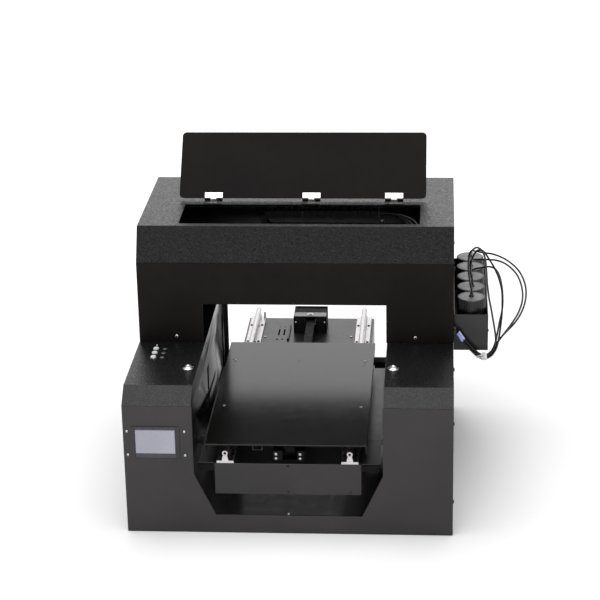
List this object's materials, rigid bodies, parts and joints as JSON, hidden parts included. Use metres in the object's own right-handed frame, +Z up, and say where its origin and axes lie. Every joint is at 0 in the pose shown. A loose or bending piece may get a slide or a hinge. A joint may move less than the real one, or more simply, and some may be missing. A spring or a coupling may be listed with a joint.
{
  "type": "flatbed uv printer",
  "caption": "Desktop flatbed UV printer: U-shaped base with two towers, gantry with open hatch, sliding bed on a rising rail platform, side ink rack with tubed bottles.",
  "frame": {"origin": "middle of the footprint at the surface that the base stands on, measured without the free ink tubes", "axes": "+Y from the front panel to the back, +Z up, +X to the right as seen from the front"},
  "size_m": [0.8031, 0.8144, 0.6658],
  "materials": {
    "smooth_black": "satin powder coat",
    "wrinkle_black": "fine wrinkle powder coat",
    "plate_black": "smooth satin coat",
    "bed_grey": "fine matt anodised face",
    "aluminium": "satin",
    "steel": "satin",
    "chrome": "polished",
    "plastic_black": "matt",
    "bottle_black": "semi-matt",
    "rubber": "matt",
    "screen_grey": "glossy",
    "motor_black": "satin",
    "head_grey": "matt"
  },
  "bodies": {
    "frame": {"base_pan": "smooth_black", "front_panel": "smooth_black", "trough_liner": "smooth_black", "rear_panel": "smooth_black", "ink_rack": "smooth_black", "left_side_cover": "wrinkle_black", "right_side_cover": "wrinkle_black", "left_tower_cover": "wrinkle_black", "right_tower_cover": "wrinkle_black", "hood_cover": "wrinkle_black", "gantry_front_plate": "plate_black", "carriage_beam": "aluminium", "hinge_base_1": "chrome", "hinge_base_2": "chrome", "hinge_base_3": "chrome", "cable_chain": "plastic_black", "screen_bezel": "plastic_black", "power_inlet": "plastic_black", "ink_bottle_1": "bottle_black", "ink_bottle_2": "bottle_black", "ink_bottle_3": "bottle_black", "ink_bottle_4": "bottle_black", "ink_bottle_5": "bottle_black", "lift_belt": "rubber", "tube_grommet": "rubber", "ink_tube_1": "rubber", "ink_tube_2": "rubber", "ink_tube_3": "rubber", "ink_tube_4": "rubber", "ink_tube_5": "rubber", "screen_glass": "screen_grey", "lift_motor": "motor_black", "carriage_motor": "motor_black"},
    "lift": {"lift_table": "smooth_black", "bed_rail_left": "aluminium", "bed_rail_right": "aluminium", "front_crossbar": "steel", "rear_crossbar": "steel", "bed_motor": "motor_black", "bed_motor_bracket": "motor_black", "bed_belt": "rubber"},
    "bed": {"bed_plate": "bed_grey", "bearing_block_front_left": "aluminium", "bearing_block_front_right": "aluminium", "bearing_block_rear_left": "aluminium", "bearing_block_rear_right": "aluminium"},
    "bed_pulley": {"bed_drive_pulley": "aluminium"},
    "carriage": {"carriage": "aluminium", "print_head": "head_grey", "uv_lamp": "aluminium"},
    "lid": {"hatch_lid": "plate_black"},
    "button_left": {"push_button_left": "chrome"},
    "button_right": {"push_button_right": "chrome"},
    "key_1": {"panel_button_1": "steel"},
    "key_2": {"panel_button_2": "steel"},
    "key_3": {"panel_button_3": "steel"},
    "body_lead_screw_front_left": {"lead_screw_front_left": "steel"},
    "body_lead_screw_front_right": {"lead_screw_front_right": "steel"},
    "body_lead_screw_rear_left": {"lead_screw_rear_left": "steel"},
    "body_lead_screw_rear_right": {"lead_screw_rear_right": "steel"}
  },
  "joints": [
    {"name": "platform_lift", "type": "slide", "parent": "frame", "child": "lift", "axis": [0, 0, 1], "range_m": [-0.014, 0.15]},
    {"name": "bed_slide", "type": "slide", "parent": "lift", "child": "bed", "axis": [0, 1, 0], "range_m": [0, 0.42]},
    {"name": "carriage_slide", "type": "slide", "parent": "frame", "child": "carriage", "axis": [-1, 0, 0], "range_m": [0, 0.512]},
    {"name": "lid_hinge", "type": "hinge", "parent": "frame", "child": "lid", "pos_m": [-0.03115, 0.06125, 0.5486], "axis": [1, 0, 0], "range_deg": [0, 131]},
    {"name": "left_button_press", "type": "slide", "parent": "frame", "child": "button_left", "axis": [0, 0, -1], "range_m": [0, 0.0025], "stiffness_N_per_m": 500, "springref_m": -0.001},
    {"name": "right_button_press", "type": "slide", "parent": "frame", "child": "button_right", "axis": [0, 0, -1], "range_m": [0, 0.0025], "stiffness_N_per_m": 500, "springref_m": -0.001},
    {"name": "key_1_press", "type": "slide", "parent": "frame", "child": "key_1", "axis": [0, 0, -1], "range_m": [0, 0.0012], "stiffness_N_per_m": 400, "springref_m": -0.001},
    {"name": "key_2_press", "type": "slide", "parent": "frame", "child": "key_2", "axis": [0, 0, -1], "range_m": [0, 0.0012], "stiffness_N_per_m": 400, "springref_m": -0.001},
    {"name": "key_3_press", "type": "slide", "parent": "frame", "child": "key_3", "axis": [0, 0, -1], "range_m": [0, 0.0012], "stiffness_N_per_m": 400, "springref_m": -0.001},
    {"name": "lead_screw_front_left_turn", "type": "hinge", "parent": "frame", "child": "body_lead_screw_front_left", "pos_m": [-0.23465, -0.10975, 0.15], "axis": [0, 0, 1], "range_deg": [-6800, 700]},
    {"name": "lead_screw_front_right_turn", "type": "hinge", "parent": "frame", "child": "body_lead_screw_front_right", "pos_m": [0.16335, -0.10975, 0.15], "axis": [0, 0, 1], "range_deg": [-6800, 700]},
    {"name": "lead_screw_rear_left_turn", "type": "hinge", "parent": "frame", "child": "body_lead_screw_rear_left", "pos_m": [-0.23465, 0.18225, 0.15], "axis": [0, 0, 1], "range_deg": [-6800, 700]},
    {"name": "lead_screw_rear_right_turn", "type": "hinge", "parent": "frame", "child": "body_lead_screw_rear_right", "pos_m": [0.16335, 0.18225, 0.15], "axis": [0, 0, 1], "range_deg": [-6800, 700]},
    {"name": "bed_pulley_turn", "type": "hinge", "parent": "lift", "child": "bed_pulley", "pos_m": [-0.03415, 0.35425, 0.16], "axis": [1, 0, 0], "range_deg": [-1900, 30]}
  ],
  "couplings": [
    {"joint": "lead_screw_front_left_turn", "follows": "platform_lift", "rad_per_m": -785.4},
    {"joint": "lead_screw_front_right_turn", "follows": "platform_lift", "rad_per_m": -785.4},
    {"joint": "lead_screw_rear_left_turn", "follows": "platform_lift", "rad_per_m": -785.4},
    {"joint": "lead_screw_rear_right_turn", "follows": "platform_lift", "rad_per_m": -785.4},
    {"joint": "bed_pulley_turn", "follows": "bed_slide", "rad_per_m": -76.923}
  ]
}
